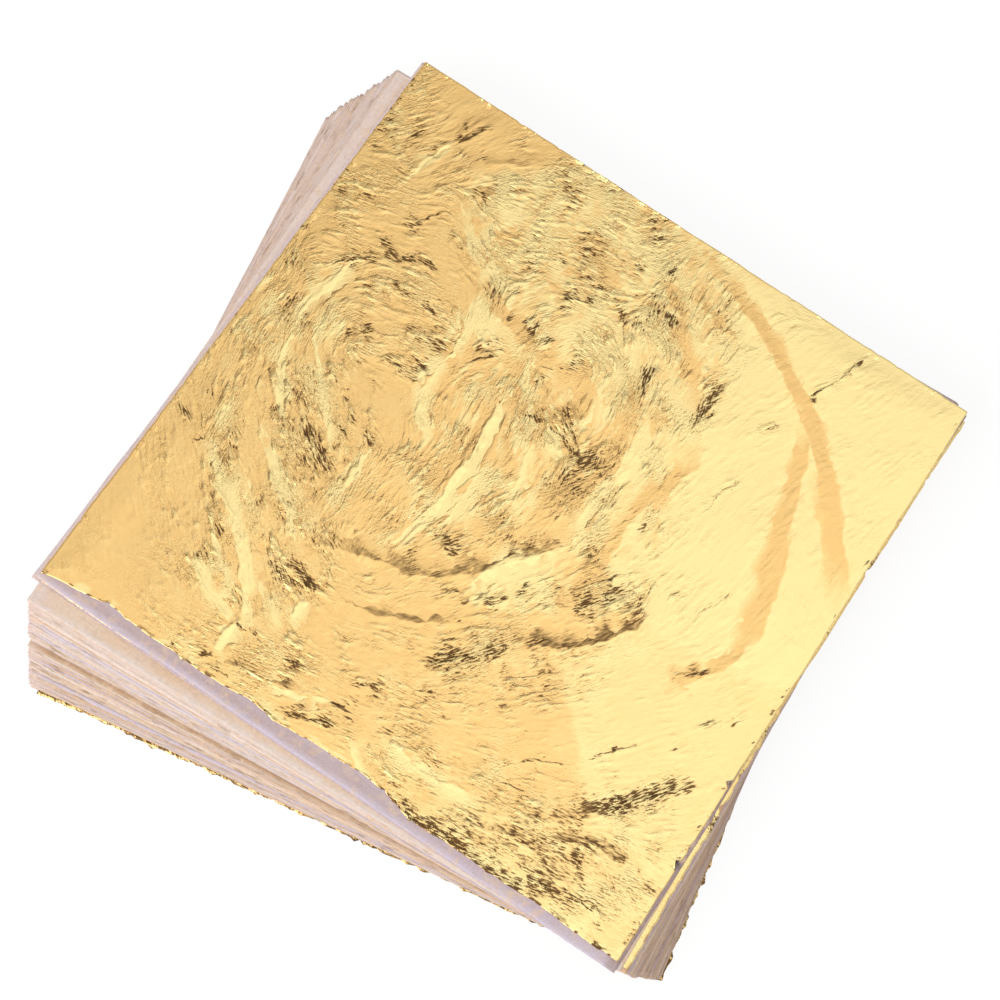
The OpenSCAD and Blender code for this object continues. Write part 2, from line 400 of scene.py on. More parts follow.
# Warm bands across the pale part, painted as leaf that reflects less light, on a tilted strip: width,
# strength, line
BANDS = drawn([
    (12, 1, 700,256, 722,272, 745,300, 768,333, 788,370, 803,405, 815,430, 824,470, 832,520, 838,560),
    (20, .7, 822,475, 830,520, 836,575, 838,600), (12, 1.1, 805,428, 797,470, 789,500, 781,530, 773,560),
    (20, 1.1, 781,530, 773,565, 765,595, 752,626, 742,643), (10, 1.3, 748,636, 729,658, 717,667, 701,672,
     691,676, 669,688), (6, .8, 698,301, 719,322, 738,345), (7, .9, 665,283, 675,304, 689,317),
    (12, 1, 675,325, 685,340, 691,360, 692,390), (12, .9, 697,446, 690,466, 675,476, 658,490, 640,503,
     625,520, 610,545, 597,565, 585,590), (8, .9, 548,270, 553,285, 560,297),
    (12, 1.1, 487,293, 500,310, 515,325, 530,340, 540,350), (8, .8, 475,215, 478,235),
    (8, .8, 490,235, 520,232), (8, .8, 480,195, 500,190), (14, 1, 575,370, 585,390, 590,400, 575,410,
     560,415), (10, 1, 635,415, 628,430, 610,460, 585,490, 570,510),
    (18, .9, 565,470, 570,480, 560,495, 545,505), (10, .9, 508,425, 508,450, 506,470),
    (5, .9, 520,365, 516,385, 518,405), (12, 1, 480,420, 470,440, 455,460, 440,480, 425,500),
    (10, .8, 600,560, 560,610), (7, .8, 455,340, 450,370, 440,400, 442,430),
    (8, .9, 545,385, 540,420, 525,450),
])
# Parts of the leaf from warm at 0 to pale at 1, pale being painted highlight where the leaf reflects more
# light, each painted over the ones before it: tone, softness, region
TONES = drawn([
    (.7, 14, 380,712, 400,690, 470,668, 560,655, 700,600, 900,600, 640,1010, 480,850, 400,790),
    (.1, 5, 380,712, 400,690, 470,668, 560,662, 566,684, 578,765, 590,850, 480,845, 400,790),
    (.4, 12, 430,800, 560,810, 640,860, 640,960, 600,990, 480,900), (1, 9, 640,225, 700,245, 790,295,
     1010,400, 850,690, 770,690, 690,655, 645,632, 638,560, 690,440, 716,400, 690,330, 625,300), (.75, 5,
     463,188, 480,176, 600,166, 665,215, 722,250, 722,420, 640,420, 600,400, 540,350, 484,297, 470,250),
     (.28, 5, 485,300, 440,370, 414,405, 405,450, 420,470, 385,545, 420,540, 500,505, 560,480, 615,440,
     640,400, 600,385, 560,360, 520,340), (.95, 4, 465,600, 545,552, 600,505, 650,445, 690,400, 715,400,
     700,450, 655,500, 645,560, 640,605, 600,612, 540,612, 500,612),
    (.15, 5, 556,565, 597,545, 612,585, 592,625, 556,610), (.15, 7, 552,250, 600,232, 628,250, 612,290,
     575,292), (.12, 3, 532,670, 562,682, 580,762, 560,750, 540,705), (.08, 4, 290,515, 345,545, 430,562,
     500,548, 560,520, 610,470, 640,425, 632,470, 590,530, 540,556, 465,598, 400,600, 330,575),
])
# Where strips of pale painted highlight and of warm gold run side by side: strength, stretch, region
MOTTLED = drawn([
    (.8, 4, 485,300, 440,370, 414,405, 405,450, 385,545, 500,520, 560,500, 640,430, 640,390, 560,350),
    (.8, 2.4, 463,188, 600,166, 722,250, 722,420, 640,420, 540,350, 484,297),
    (.6, 3, 465,600, 545,552, 650,445, 715,400, 700,450, 645,560, 640,605, 500,612),
    (.2, 3.5, 250,270, 360,260, 340,560, 280,680, 180,640, 190,420),
])
# How crumpled the leaf is, past its base: centre x, centre y, half width, half height, strength
CRUMPLED = [
    (399,143, 26,38, .9), (470,690, 90,24, .6), (500,640, 130,20, .6), (420,745, 50,40, .6),
    (425,85, 22,16, .8), (600,190, 70,40, 1), (560,230, 110,60, .8), (640,340, 70,80, 1),
    (300,430, 70,150, .7), (230,540, 45,110, .8), (520,875, 110,60, 1.1), (515,522, 30,28, .9),
    (520,680, 80,24, .6), (260,660, 70,40, .8), (340,340, 60,70, .6), (600,470, 60,90, .8),
    (440,780, 60,40, .7), (610,600, 60,40, .8), (400,320, 60,60, .5), (250,330, 60,70, .55),
    (560,440, 80,90, .7), (330,200, 60,50, .5), (450,460, 90,110, .45),
]
# How smooth it is, in the same terms
SMOOTH = [
    (450,267, 22,34, 1), (390,395, 32,28, .9), (385,620, 60,24, .8), (110,530, 60,90, .7),
    (820,520, 190,200, .85), (470,725, 95,26, .5), (480,130, 70,40, .6), (620,700, 60,60, .8),
    (720,640, 120,120, .8),
]
# Parts of the crumpled leaf darkened towards brown with painted shade, in the same terms
SHADED_SPOTS = [
    (520,880, 110,34, .62), (440,835, 50,26, .6), (590,262, 40,30, .3), (390,150, 36,30, .28),
    (470,655, 60,12, .3), (560,545, 60,12, .25), (600,175, 60,16, .25), (300,440, 26,60, .22),
    (590,480, 30,30, .25), (520,300, 40,20, .25), (640,800, 60,10, .3), (350,705, 60,14, .35),
    (590,800, 60,14, .3), (500,665, 150,16, .25), (480,650, 46,10, .5), (430,700, 120,60, .12),
    (420,765, 60,30, .25), (250,480, 60,140, .1), (600,600, 40,16, .3),
]
# Ways that the fine folds run, added to the ways of the drawn lines: x, y, across, down, strength
GRAIN_GUIDES = [
    (400,180, .9,.45, 3), (360,240, .9,.45, 3), (430,290, .9,.5, 3), (440,230, .8,.5, 2),
    (300,300, .6,-.8, 2), (220,380, .3,-.9, 2), (560,220, .95,.3, 3), (620,260, .8,.6, 3),
    (660,330, .2,1, 3), (600,340, .6,.8, 2), (690,430, -.8,.6, 3), (640,480, -.75,.65, 3),
    (600,530, -.8,.6, 3), (480,430, -.45,.9, 3), (520,440, -.35,.94, 3), (450,520, -.7,.7, 3),
    (560,500, -.8,.6, 3), (230,540, .2,.98, 3), (270,600, .4,.9, 3), (300,660, .85,.5, 3),
    (400,720, .97,.2, 2), (400,650, .97,.2, 2), (520,690, .95,-.2, 2), (640,740, .95,-.3, 3),
    (480,780, .95,.3, 2), (540,880, .85,.55, 3), (620,860, .7,.7, 2), (800,600, -.3,.95, 2),
    (820,300, .8,.6, 1), (150,560, .8,.5, 1), (200,620, .85,.5, 2), (720,560, -.7,.7, 2),
]
# The way along the mottled strips, and the ways that folds face, in the photograph
STRIP_WAY = (-0.57, 0.82)
SHADED = (-0.3, -0.95)
LIT = (0.7, 0.7)
# Looks of folds: the way they face, their slope, the width of their far edge as a share of their own, what
# they add to the tone with its painted highlight and to the painted crease shade, how ragged they are, and
# how many strands each splits into
ARC_LOOK = (SHADED, 0.14, 0.9, -0.6, 0.6, 0.15, 1)
BAND_LOOK = (SHADED, 0.04, 0.8, -1.2, 0.05, 0.15, 1)
LEFT_RIB_LOOK = (LIT, 0.11, 0.5, 2.2, -0.3, 0.3, 2)
MIDDLE_RIB_LOOK = (LIT, 0.09, 0.5, 2.0, -0.3, 0.4, 4)
CREASE_LOOK = (SHADED, 0.12, 0.9, -0.1, 1.25, 0.3, 1)
STRAND_WIDTHS = {1: 1.0, 2: 0.85, 4: 0.5}
# Half width of a fold as a share of its width, and at least, in pixels
HALF_SHARE, HALF_LEAST = 0.62, 0.8
# Noises as (reach, length of their waves) in pixels or radians
BENDS = ((3.0, 23), (1.2, 7))
SWAY = ((5, 40),)
WAY_SWAY = ((0.32, 26), (0.2, 11))
CLUSTERS = ((1, 34), (0.6, 14))
BUCKLE = ((0.6, 90),)
# Grid of the ways, in pixels, and the fine and broad streaks as (width, length, seed)
GRAIN_CELL = 8.0
GRAIN_CELLS = 130
GUIDE_REACH = 14
LONG_LINE = 40
FINE_GRAIN = (1.6, 6, 61)
BROAD_GRAIN = (2.6, 15, 62)
STREAK_GAIN = 1.6
# Tone and crumpling of the leaf where nothing is drawn
BASE_TONE = 0.06
CRUMPLE_BASE, CRUMPLE_LEAST = 0.40, 0.17
# How strongly the arcs paint their brown shade
ARC_SHADE_GAIN = 1.45


def strip(line, x, y, facing):
    """Distance across a line, positive on the side it faces, distance along it, and its length."""
    best, across, run = np.full(x.shape, 1e9), np.zeros(x.shape), np.zeros(x.shape)
    chord = line[-1] - line[0]
    side = 1.0 if chord[0] * facing[1] - chord[1] * facing[0] > 0 else -1.0
    done = 0.0
    for a, b in zip(line, line[1:]):
        length = np.hypot(*(b - a))
        way = (b - a) / length
        dx, dy = x - a[0], y - a[1]
        t = np.clip(dx * way[0] + dy * way[1], 0, length)
        d = np.hypot(dx - t * way[0], dy - t * way[1])
        near = d < best
        best = np.where(near, d, best)
        across = np.where(near, np.sign(way[0] * dy - way[1] * dx) * d * side, across)
        run = np.where(near, done + t, run)
        done += length
    return across, run, done


def grain_ways(lines):
    """Way that the fine folds run on a coarse grid of pixels, as an angle."""
    marks = [((x, y), (across, down), weight) for x, y, across, down, weight in GRAIN_GUIDES]
    for _, strength, line in lines:
        for a, b in zip(line, line[1:]):
            marks.append(((a + b) / 2, b - a, strength * min(np.hypot(*(b - a)), LONG_LINE) / 20))
    at = np.arange(GRAIN_CELLS) * GRAIN_CELL
    x, y = np.meshgrid(at, at, indexing="ij")
    total = np.zeros((2, GRAIN_CELLS, GRAIN_CELLS))
    for place, way, weight in marks:
        near = weight / ((x - place[0]) ** 2 + (y - place[1]) ** 2 + GUIDE_REACH ** 2) ** 1.25
        double = 2 * math.atan2(way[1], way[0])
        total += np.array([math.cos(double), math.sin(double)])[:, None, None] * near
    return stirred(np.arctan2(total[1], total[0]) / 2, x, y, WAY_SWAY, 66)


def way_at(ways, x, y):
    return ways[tuple(np.clip((v / GRAIN_CELL + 0.5).astype(int), 0, GRAIN_CELLS - 1) for v in (x, y))]


def stroke_way(angle):
    """Cosine and sine of the double angle in the plane of the part, for angles in the photograph."""
    way = np.outer(np.cos(angle), RIGHT[:2]) + np.outer(np.sin(angle), -UP[:2])
    double = 2 * np.arctan2(way[:, 1], way[:, 0])
    return np.column_stack([np.cos(double), np.sin(double), np.zeros(len(double))])


def speckle(speck, x, y):
    """A smooth reading of a table of numbers, one unit apart, that repeats."""
    i, j = np.floor(x).astype(int), np.floor(y).astype(int)
    fx, fy = smooth_step(x - i), smooth_step(y - j)
    a, b, c, d = (speck[(i + di) % len(speck), (j + dj) % len(speck)]
                  for di, dj in ((0, 0), (1, 0), (0, 1), (1, 1)))
    return (a * (1 - fx) + b * fx) * (1 - fy) + (c * (1 - fx) + d * fx) * fy


def grain(ways, x, y, width, length, seed):
    """Streaks from about -1 to 1 that run along the ways, of that width and length in pixels."""
    speck = np.random.default_rng(seed).uniform(-1, 1, (LATTICE * 2, LATTICE * 2))
    total, weights = np.zeros(x.shape), 0.0
    for forward in (1.0, -1.0):
        px, py, last = x.copy(), y.copy(), None
        for i in range(int(length / width) + 1):
            fall = math.cos(math.pi / 2 * i * width / length) * (1.0 if i else 0.5)
            total += fall * speckle(speck, px / width, py / width)
            weights += fall ** 2
            angle = way_at(ways, px, py)
            step = np.array([np.cos(angle), np.sin(angle)])
            turned = np.sign((step * last).sum(0)) if last is not None else forward
            last = step * np.where(turned == 0, 1, turned)
            px, py = px + last[0] * width, py + last[1] * width
    return total / math.sqrt(weights) * STREAK_GAIN


class Relief:
    """Height of the top leaf in pixels, its tone with painted highlights, the painted shade of its creases,
    how rough folds make it, and how calm.
    """

    def __init__(self, x, y):
        self.x, self.y = stirred(x, x, y, BENDS, 11), stirred(y, x, y, BENDS, 13)
        self.height, self.tone, self.crease, self.rough, self.calm = (np.zeros(len(x)) for _ in range(5))
        self.seed = 5000

    def fold(self, features, look):
        """Tilted strips along lines, each with a sharp edge on both sides, or split into thin strands."""
        facing, _, returns, _, _, _, strands = look
        for width, strength, line in features:
            self.seed += 1
            reach = width * (0.5 + returns + 1.2 * (strands > 1)) + 8
            low, high = line.min(0) - reach, line.max(0) + reach
            within = (self.x > low[0]) & (self.x < high[0]) & (self.y > low[1]) & (self.y < high[1])
            at = np.where(within)[0]
            d, run, length = strip(line, self.x[at], self.y[at], facing)
            for k in range(strands):
                own = np.random.default_rng(self.seed * 10 + k)
                shift, start, stop, thin, share = 0.0, 0.0, 1.0, 1.0, strength
                if k:
                    shift = own.uniform(-1.3, 1.3) * width
                    start, stop = own.uniform(0, .45), own.uniform(.55, 1)
                    thin, share = own.uniform(.4, .7), strength * own.uniform(.45, .8)
                ends = start * length, stop * length
                narrow = width * thin * STRAND_WIDTHS[strands]
                self.strand(at, d - shift, run, ends, narrow, share, look, self.seed + 97 * k)

    def strand(self, at, d, run, ends, width, strength, look, seed):
        """One tilted strip between two ends, for the distances across it and along it."""
        _, slope, returns, tone, crease, ragged, _ = look
        rough = along_only(run / 9, seed)
        d = d - 0.35 * ragged * width * along_only(run / 8, seed + 700)
        half = HALF_SHARE * width * (1 + ragged * along_only(run / 14, seed + 500) + 0.3 * ragged * rough)
        half = np.maximum(half, HALF_LEAST)
        end = np.minimum(run - ends[0], ends[1] - run) / (0.3 * (ends[1] - ends[0]) + 2)
        amount = strength * smooth_step(end + 0.25, 0, 1) * (1 + 0.5 * ragged * rough)
        past = np.clip((np.abs(d) - half) / (returns * width), 0, 1)
        inside = smooth_step(half + 1.2 - np.abs(d), 0, 2.0)
        halo = smooth_step(2.4 * half + 3 - np.abs(d), 0, 2 * half + 3)
        self.height[at] -= slope * amount * np.clip(d, -half, half) * (1 - past)
        self.tone[at] += tone * amount * inside
        self.crease[at] += crease * amount * (0.85 * inside + 0.15 * halo)
        self.rough[at] += crease * amount * halo
        self.calm[at] = np.maximum(self.calm[at], np.clip(amount, 0, 1) * inside)


def inside_region(points, x, y, soft):
    """1 inside a many-sided region and 0 outside, over a soft border."""
    within, best = np.zeros(x.shape, bool), np.full(x.shape, 1e9)
    for a, b in zip(points, np.roll(points, -1, 0)):
        crosses = (a[1] > y) != (b[1] > y)
        rise = b[1] - a[1] if b[1] != a[1] else 1e-9
        within ^= crosses & (x < (b[0] - a[0]) * (y - a[1]) / rise + a[0])
        way = b - a
        t = np.clip(((x - a[0]) * way[0] + (y - a[1]) * way[1]) / (way @ way), 0, 1)
        best = np.minimum(best, np.hypot(x - a[0] - t * way[0], y - a[1] - t * way[1]))
    return smooth_step(np.where(within, best, -best), -soft, soft)


def spread(spots, x, y):
    """The strongest of some soft round spots, at each place."""
    total = np.zeros(x.shape)
    for cx, cy, rx, ry, amount in spots:
        total = np.maximum(total, amount * np.exp(-((x - cx) / rx) ** 2 * 0.7 - ((y - cy) / ry) ** 2 * 0.7))
    return total


def paint_tones(relief, x, y):
    """Warm parts of the leaf and pale parts of painted highlight, and the strips in which they mix."""
    sway_x, sway_y = stirred(relief.x, x, y, SWAY, 21), stirred(relief.y, x, y, SWAY, 22)
    relief.tone += BASE_TONE
    for level, soft, region in TONES:
        relief.tone += (level - relief.tone) * inside_region(region, sway_x, sway_y, soft)
    along = STRIP_WAY[0] * relief.x + STRIP_WAY[1] * relief.y
    across = STRIP_WAY[1] * relief.x - STRIP_WAY[0] * relief.y
    for i, (strength, stretch, region) in enumerate(MOTTLED):
        streak = noise(along / (9 * stretch), across / 9, 51 + i)
        streak = streak + 0.6 * noise(along / (4.5 * stretch), across / 4.5, 55 + i)
        streak = 2 * smooth_step(streak, -0.2, 0.3) - 1
        relief.tone += 0.5 * strength * streak * inside_region(region, sway_x, sway_y, 12)
    relief.tone = np.clip(relief.tone, -0.1, 1.05)


def top_leaf_relief(x, y):
    """Height in millimetres, tone with painted highlights, painted crease shade and crumple of the top leaf,
    for pixels of the photograph.
    """
    relief = Relief(x, y)
    paint_tones(relief, x, y)
    relief.fold(ARCS, ARC_LOOK)
    arc_shade, smooth = relief.crease.copy(), relief.calm.copy()
    relief.crease[:] = relief.rough[:] = 0
    relief.fold(BANDS, BAND_LOOK)
    relief.calm[:] = 0
    relief.fold(LEFT_RIBS, LEFT_RIB_LOOK)
    relief.fold(MIDDLE_RIBS, MIDDLE_RIB_LOOK)
    smooth = np.maximum(smooth, 0.55 * relief.calm)
    relief.crease += spread(SHADED_SPOTS, relief.x, relief.y)
    relief.fold(CREASES, CREASE_LOOK)
    ways = grain_ways(LEFT_RIBS + MIDDLE_RIBS + CREASES)
    fine, broad = grain(ways, x, y, *FINE_GRAIN), grain(ways, x, y, *BROAD_GRAIN)
    cluster = smooth_step(stirred(0, x, y, CLUSTERS, 41), -0.45, 0.5)
    crumple = CRUMPLE_BASE + spread(CRUMPLED, relief.x, relief.y) - 0.5 * spread(SMOOTH, relief.x, relief.y)
    crumple = np.clip(crumple, CRUMPLE_LEAST, 1) * (0.35 + 0.9 * cluster)
    crumple = np.clip(crumple + 0.4 * relief.rough, 0.02, 1.1) * (1 - 0.75 * smooth)
    crinkle = ridges(x, y, 15, 31) * 0.3 + np.clip(ridges(x, y, 7, 32) - 0.4, 0, 1) * 0.35
    height = relief.height + (0.30 * fine + 0.36 * broad + crinkle) * crumple
    height = stirred(height, x, y, BUCKLE, 34)
    # The streaks paint glints into the tone and shade into the creases.
    tone = relief.tone + (0.25 * fine + 0.38 * broad) * np.clip(crumple, 0.05, 1)
    shade_wisps = np.clip(0.75 * fine + 0.5 * broad, -1.3, 1.3)
    crease = relief.crease * (0.90 - 0.65 * shade_wisps) + smooth_step(-shade_wisps, 0.35, 1.3) * crumple ** 1.4
    crease = crease + ARC_SHADE_GAIN * arc_shade * (1 - 0.1 * shade_wisps)
    values = {"tone": np.clip(tone, -0.6, 1.3), "crease": np.clip(crease, 0, 1), "crumple": crumple,
              "way": stroke_way(way_at(ways, x, y))}
    return height * PIXEL_MM, values


# Pieces
LEAF_SIDE = 140.0
TISSUE_SIDE = 142.0
PACK_PAIRS = 10
# Pairs from the top down whose sheets are nodes of their own
SINGLE_PAIRS = 10


def grids(rings, fine, core, core_under):
    """The top and the underside of a sheet, and the faces of the whole."""
    top, under = layout(rings, fine, core), layout((0.0,), fine, core_under)
    return top, under, closed(top, under)


PACK_GRIDS = grids((0.0, 0.0045, 0.010), 144, 24, 24)
SINGLE_GRIDS = grids((0.0, 0.004, 0.012, 0.028, 0.055), 288, 48, 48)
TOP_LEAF_GRIDS = grids((), 480, 480, 48)


def pairs_of(node):
    """Numbers of the pairs in a node, from the top down."""
    kind, number = node.split("_")[:2]
    number = int(number)
    if kind == "pack":
        return range(number * PACK_PAIRS + 1, (number + 1) * PACK_PAIRS + 1)
    return range(number, number + 1)


leaf_places, tissue_places = {}, {}
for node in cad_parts:
    (leaf_places if "lea" in node else tissue_places).update(zip(pairs_of(node), sheets_of(node)))


def cover(corners, xy, soft):
    """1 inside a sheet's outline, 0 outside."""
    best = np.full(len(xy), 1e9)
    for k in range(4):
        a, b = corners[k], corners[(k + 1) % 4]
        way = (b - a) / np.linalg.norm(b - a)
        best = np.minimum(best, way[0] * (xy[:, 1] - a[1]) - way[1] * (xy[:, 0] - a[0]))
    return smooth_step(best, -soft, soft)


def both_sides(corners, sides, edges, reach):
    """Places in the plane for both sides of a sheet, their shares, and how many are on its top."""
    (top, _, _), (under, _, _), _ = sides
    uv = np.concatenate([top, under])
    return deckled(corners, uv, edges, reach), uv, len(top)


# Leaves. Lengths are in millimetres, and noises are given as (reach, length of their waves, seed).
# Share of a pair's air that lies between its tissue and its leaf
AIR_UNDER_LEAF = 0.36
TORN_PAIR = 4
# Top pair under the lower slip, whose leaf keeps out of sight
SLIPPED_PAIR = 51
SLIPPED_IN = 0.8
LEAF_SEED, LEAF_WAVER = 100, 0.14
TEARS, COMMON_TEAR = {1: 0.16, TORN_PAIR: 0.8}, 0.35
SINGLE_FRAY, PACK_FRAY = 0.12, 0.30
# How far edges of the torn leaf and of the lowest one move in or out, and the noises that fray them
TORN_IN, TORN_RIGHT = 0.25, ((0.35, 1.7, 97),)
LAST_IN, LAST_FRONT = 0.15, ((0.35, 1.1, 99), (0.25, 5, 98))
LAST_OUT, LAST_RIGHT = 0.6, ((0.5, 1.3, 95), (0.3, 5, 96))
LAST_FRAYED_TO = 48
# Share of the front edge of the top leaf, and how far in it is there
BOW = [(0, 0), (.11, 2.4), (.18, 1.6), (.26, 1.3), (.35, 2.2), (.40, 1.5), (.55, 2.6), (.60, 1.8), (.64, .3),
       (.78, .4), (.88, .3), (1, 0)]
BOW_WAVER = 2.2
TOP_LEFT_OUT, TOP_REAR_OUT = 0.55, 0.5
# Distance from the front edge, depth and length of each nick in its right edge
NICKS = [(23, 2.2, 2.6), (43, 1.2, 2)]
# How far in from the edges a sheet's places are moved with them, and the width of the brown rim
EDGE_REACH, DRAWN_REACH, TOP_LEAF_REACH = 2.5, 6.0, 8.0
RIM_WIDTH = 2.5
LEAF_TONE, LEAF_CREASE = ((0.6, 20),), 5
TONE_SEED, CREASE_SEED = 300, 420
PALE_BASE = 0.6
PLAIN_CRUMPLE, PLAIN_WAY = 0.6, (0.7, -0.7, 0.0)
# Relief of the top leaf: the height over which it is flattened, and how it sinks at the edges
TOP_RELIEF_HIGH, OVER_SHARE = 0.62, 0.3
RIM_SHARE, RIM_RISE = 0.35, 6


def leaf_bottom(pair, xy):
    low, high = height_of(PAIRS - pair, xy), height_of(PAIRS - pair + 1, xy)
    return low + TISSUE_THICK + AIR_UNDER_LEAF * (high - low - TISSUE_THICK - LEAF_THICK)


def wavy(value, run, layers):
    """A value with noises added to it that change along an edge."""
    for reach, wave, seed in layers:
        value = value + reach * along_only(run / wave, seed)
    return value


def leaf_edges(pair):
    """Ragged outline of a leaf, which frays more towards the foot of the pile."""
    tear = TEARS.get(pair, COMMON_TEAR)
    fray = SINGLE_FRAY if pair <= SINGLE_PAIRS else PACK_FRAY
    run, edges = outline(LEAF_SIDE, LEAF_SEED + pair, LEAF_WAVER, tear, fray)
    if pair == SLIPPED_PAIR:
        edges[0] = edges[0] - SLIPPED_IN
    if pair == TORN_PAIR:
        edges[1] = wavy(edges[1] - TORN_IN, run, TORN_RIGHT)
    if pair == PAIRS:
        edges[0] = wavy(edges[0] - LAST_IN, run, LAST_FRONT)
        near_front = smooth_step(LAST_FRAYED_TO - run, 0, 12)
        edges[1] = edges[1] + wavy(LAST_OUT, run, LAST_RIGHT) * near_front
    if pair == 1:
        edges[0] = BOW_WAVER * edges[0] - np.interp(run / run[-1], *np.array(BOW).T)
        edges[3] = edges[3] + TOP_LEFT_OUT
        edges[2] = edges[2] + TOP_REAR_OUT
        for place, deep, long in NICKS:
            edges[1] = edges[1] - deep * np.clip(1 - np.abs(run - place) / (long / 2), 0, 1)
    return run, edges


def inset(uv):
    """How far a place lies in from the nearest edge of a leaf, in millimetres."""
    return LEAF_SIDE * np.minimum(uv, 1 - uv).min(1)


def leaf_sheet(pair):
    """Points and values of one leaf under the top one."""
    single = pair <= SINGLE_PAIRS
    sides = SINGLE_GRIDS if single else PACK_GRIDS
    xy, uv, tops = both_sides(leaf_places[pair], sides, leaf_edges(pair), EDGE_REACH)
    z = leaf_bottom(pair, xy)
    z[:tops] += LEAF_THICK
    x, y = xy.T
    rim = smooth_step(RIM_WIDTH - inset(uv), 0, 1)
    tone = stirred(PALE_BASE if single else 0.0, x, y, LEAF_TONE, TONE_SEED + pair)
    # The rim turns darker brown, through the value that paints crease shade on the top leaf.
    crease = smooth_step(noise(x / LEAF_CREASE, y / LEAF_CREASE, CREASE_SEED + pair), 0.25, 0.7) * 0.7 * rim
    crease = crease + (0.0 if single else 0.2 if pair < PAIRS else 0.7) * rim
    values = {"tone": tone, "crease": crease, "crumple": np.full(len(xy), PLAIN_CRUMPLE),
              "way": np.tile(PLAIN_WAY, (len(xy), 1))}
    return np.column_stack([xy, z]), values


def top_leaf_sheet():
    """Points and values of the top leaf."""
    xy, uv, tops = both_sides(leaf_places[1], TOP_LEAF_GRIDS, leaf_edges(1), TOP_LEAF_REACH)
    level = leaf_bottom(1, xy)
    lift, values = top_leaf_relief(*to_photo(np.column_stack([xy, level])).T)
    lift = np.clip(lift - np.percentile(lift, 1), 0, None)
    lift = np.minimum(lift, TOP_RELIEF_HIGH + OVER_SHARE * np.maximum(lift - TOP_RELIEF_HIGH, 0))
    lift = lift * (RIM_SHARE + (1 - RIM_SHARE) * smooth_step(inset(uv), 0, RIM_RISE))
    across, along = uv.T
    front = along * LEAF_SIDE
    # Specks of painted shade and of painted highlight along the ragged front edge.
    edge_shade = smooth_step(noise(across * 90, along * 90, 36), -0.1, 0.3) * smooth_step(1.0 - front, 0, 0.8)
    edge_highlight = smooth_step(noise(across * 40, along * 60, 37), 0, 0.4) * smooth_step(3.0 - front, 0, 1.5)
    values["crease"] = values["crease"] + 0.9 * edge_shade
    values["tone"] = values["tone"] + 0.9 * edge_highlight
    z = level + lift
    z[:tops] += LEAF_THICK
    return np.column_stack([xy, z]), values


# Tissues. Colours are linear.
LILAC = np.array([0.70, 0.61, 0.71])
PAPER = np.array([0.85, 0.715, 0.64])
PEACH = np.array([0.87, 0.64, 0.46])
BROWN = np.array([0.52, 0.36, 0.24])
PINK = np.array([0.86, 0.68, 0.61])
TISSUE_SEED, TISSUE_WAVER = 700, 0.10
TINT_SEED, WARM_SEED = 800, 900
# How far the right edge of a tissue is drawn in, as (distance from the front edge, depth) in millimetres
DRAWN_IN = {1: [(0, .1), (36, .2), (58, 1.4), (140, 1.4)], 2: [(0, .9), (140, 1.1)],
            3: [(0, 1.0), (140, 1.1)]}
# Shares of a random draw up to which a tissue is lilac, or else of the colour of paper
LILAC_TO, PAPER_TO = 0.3, 0.7
PEACH_SHARE = 0.97
# Some tissues are browner under that many pairs, and all of them under the second number
BROWNER_UNDER, BROWNEST_UNDER = 30, 85
BROWNER_SHARE, BROWNEST_SHARE = 0.3, 0.2
# How much the next leaf shows through, for the pairs where it isn't drawn at random
SHOWS_THROUGH = {1: 0.12, 3: 0.95}
THROUGH_LEAST, THROUGH_SOFT = 0.35, 0.35
PINK_SHARE = 0.6
# Painted shade: what red, green and blue lose in the shade under the own leaf, in the shadow along its rim,
# in the shade at the right edge, and in the shadow at the nicks
UNDER_SHADE_LOSS = (0.0875, 0.14, 0.1925)
RIM_SHADOW_LOSS = (0.12, 0.19, 0.25)
RIGHT_SHADE_LOSS, TOP_RIGHT_SHADE_LOSS = (0.06, 0.13, 0.20), (0.25, 0.30, 0.38)
NICK_SHADOW_LOSS = (0.95, 0.95, 0.95)
# Place and reach of the painted shadow in a nick, as shares of its depth
NICK_SHADOW_IN, NICK_SHADOW_REACH = 0.55, 0.75
# How much longer than wide the streaks at the edges are, and how far apart their noises lie for each edge
STREAK_LONG, STREAK_APART = 6, 20.0


def towards(colour, other, share):
    return colour + (other - colour) * share


def darkened(tint, amount, loss):
    return tint * (1 - np.outer(amount, loss))


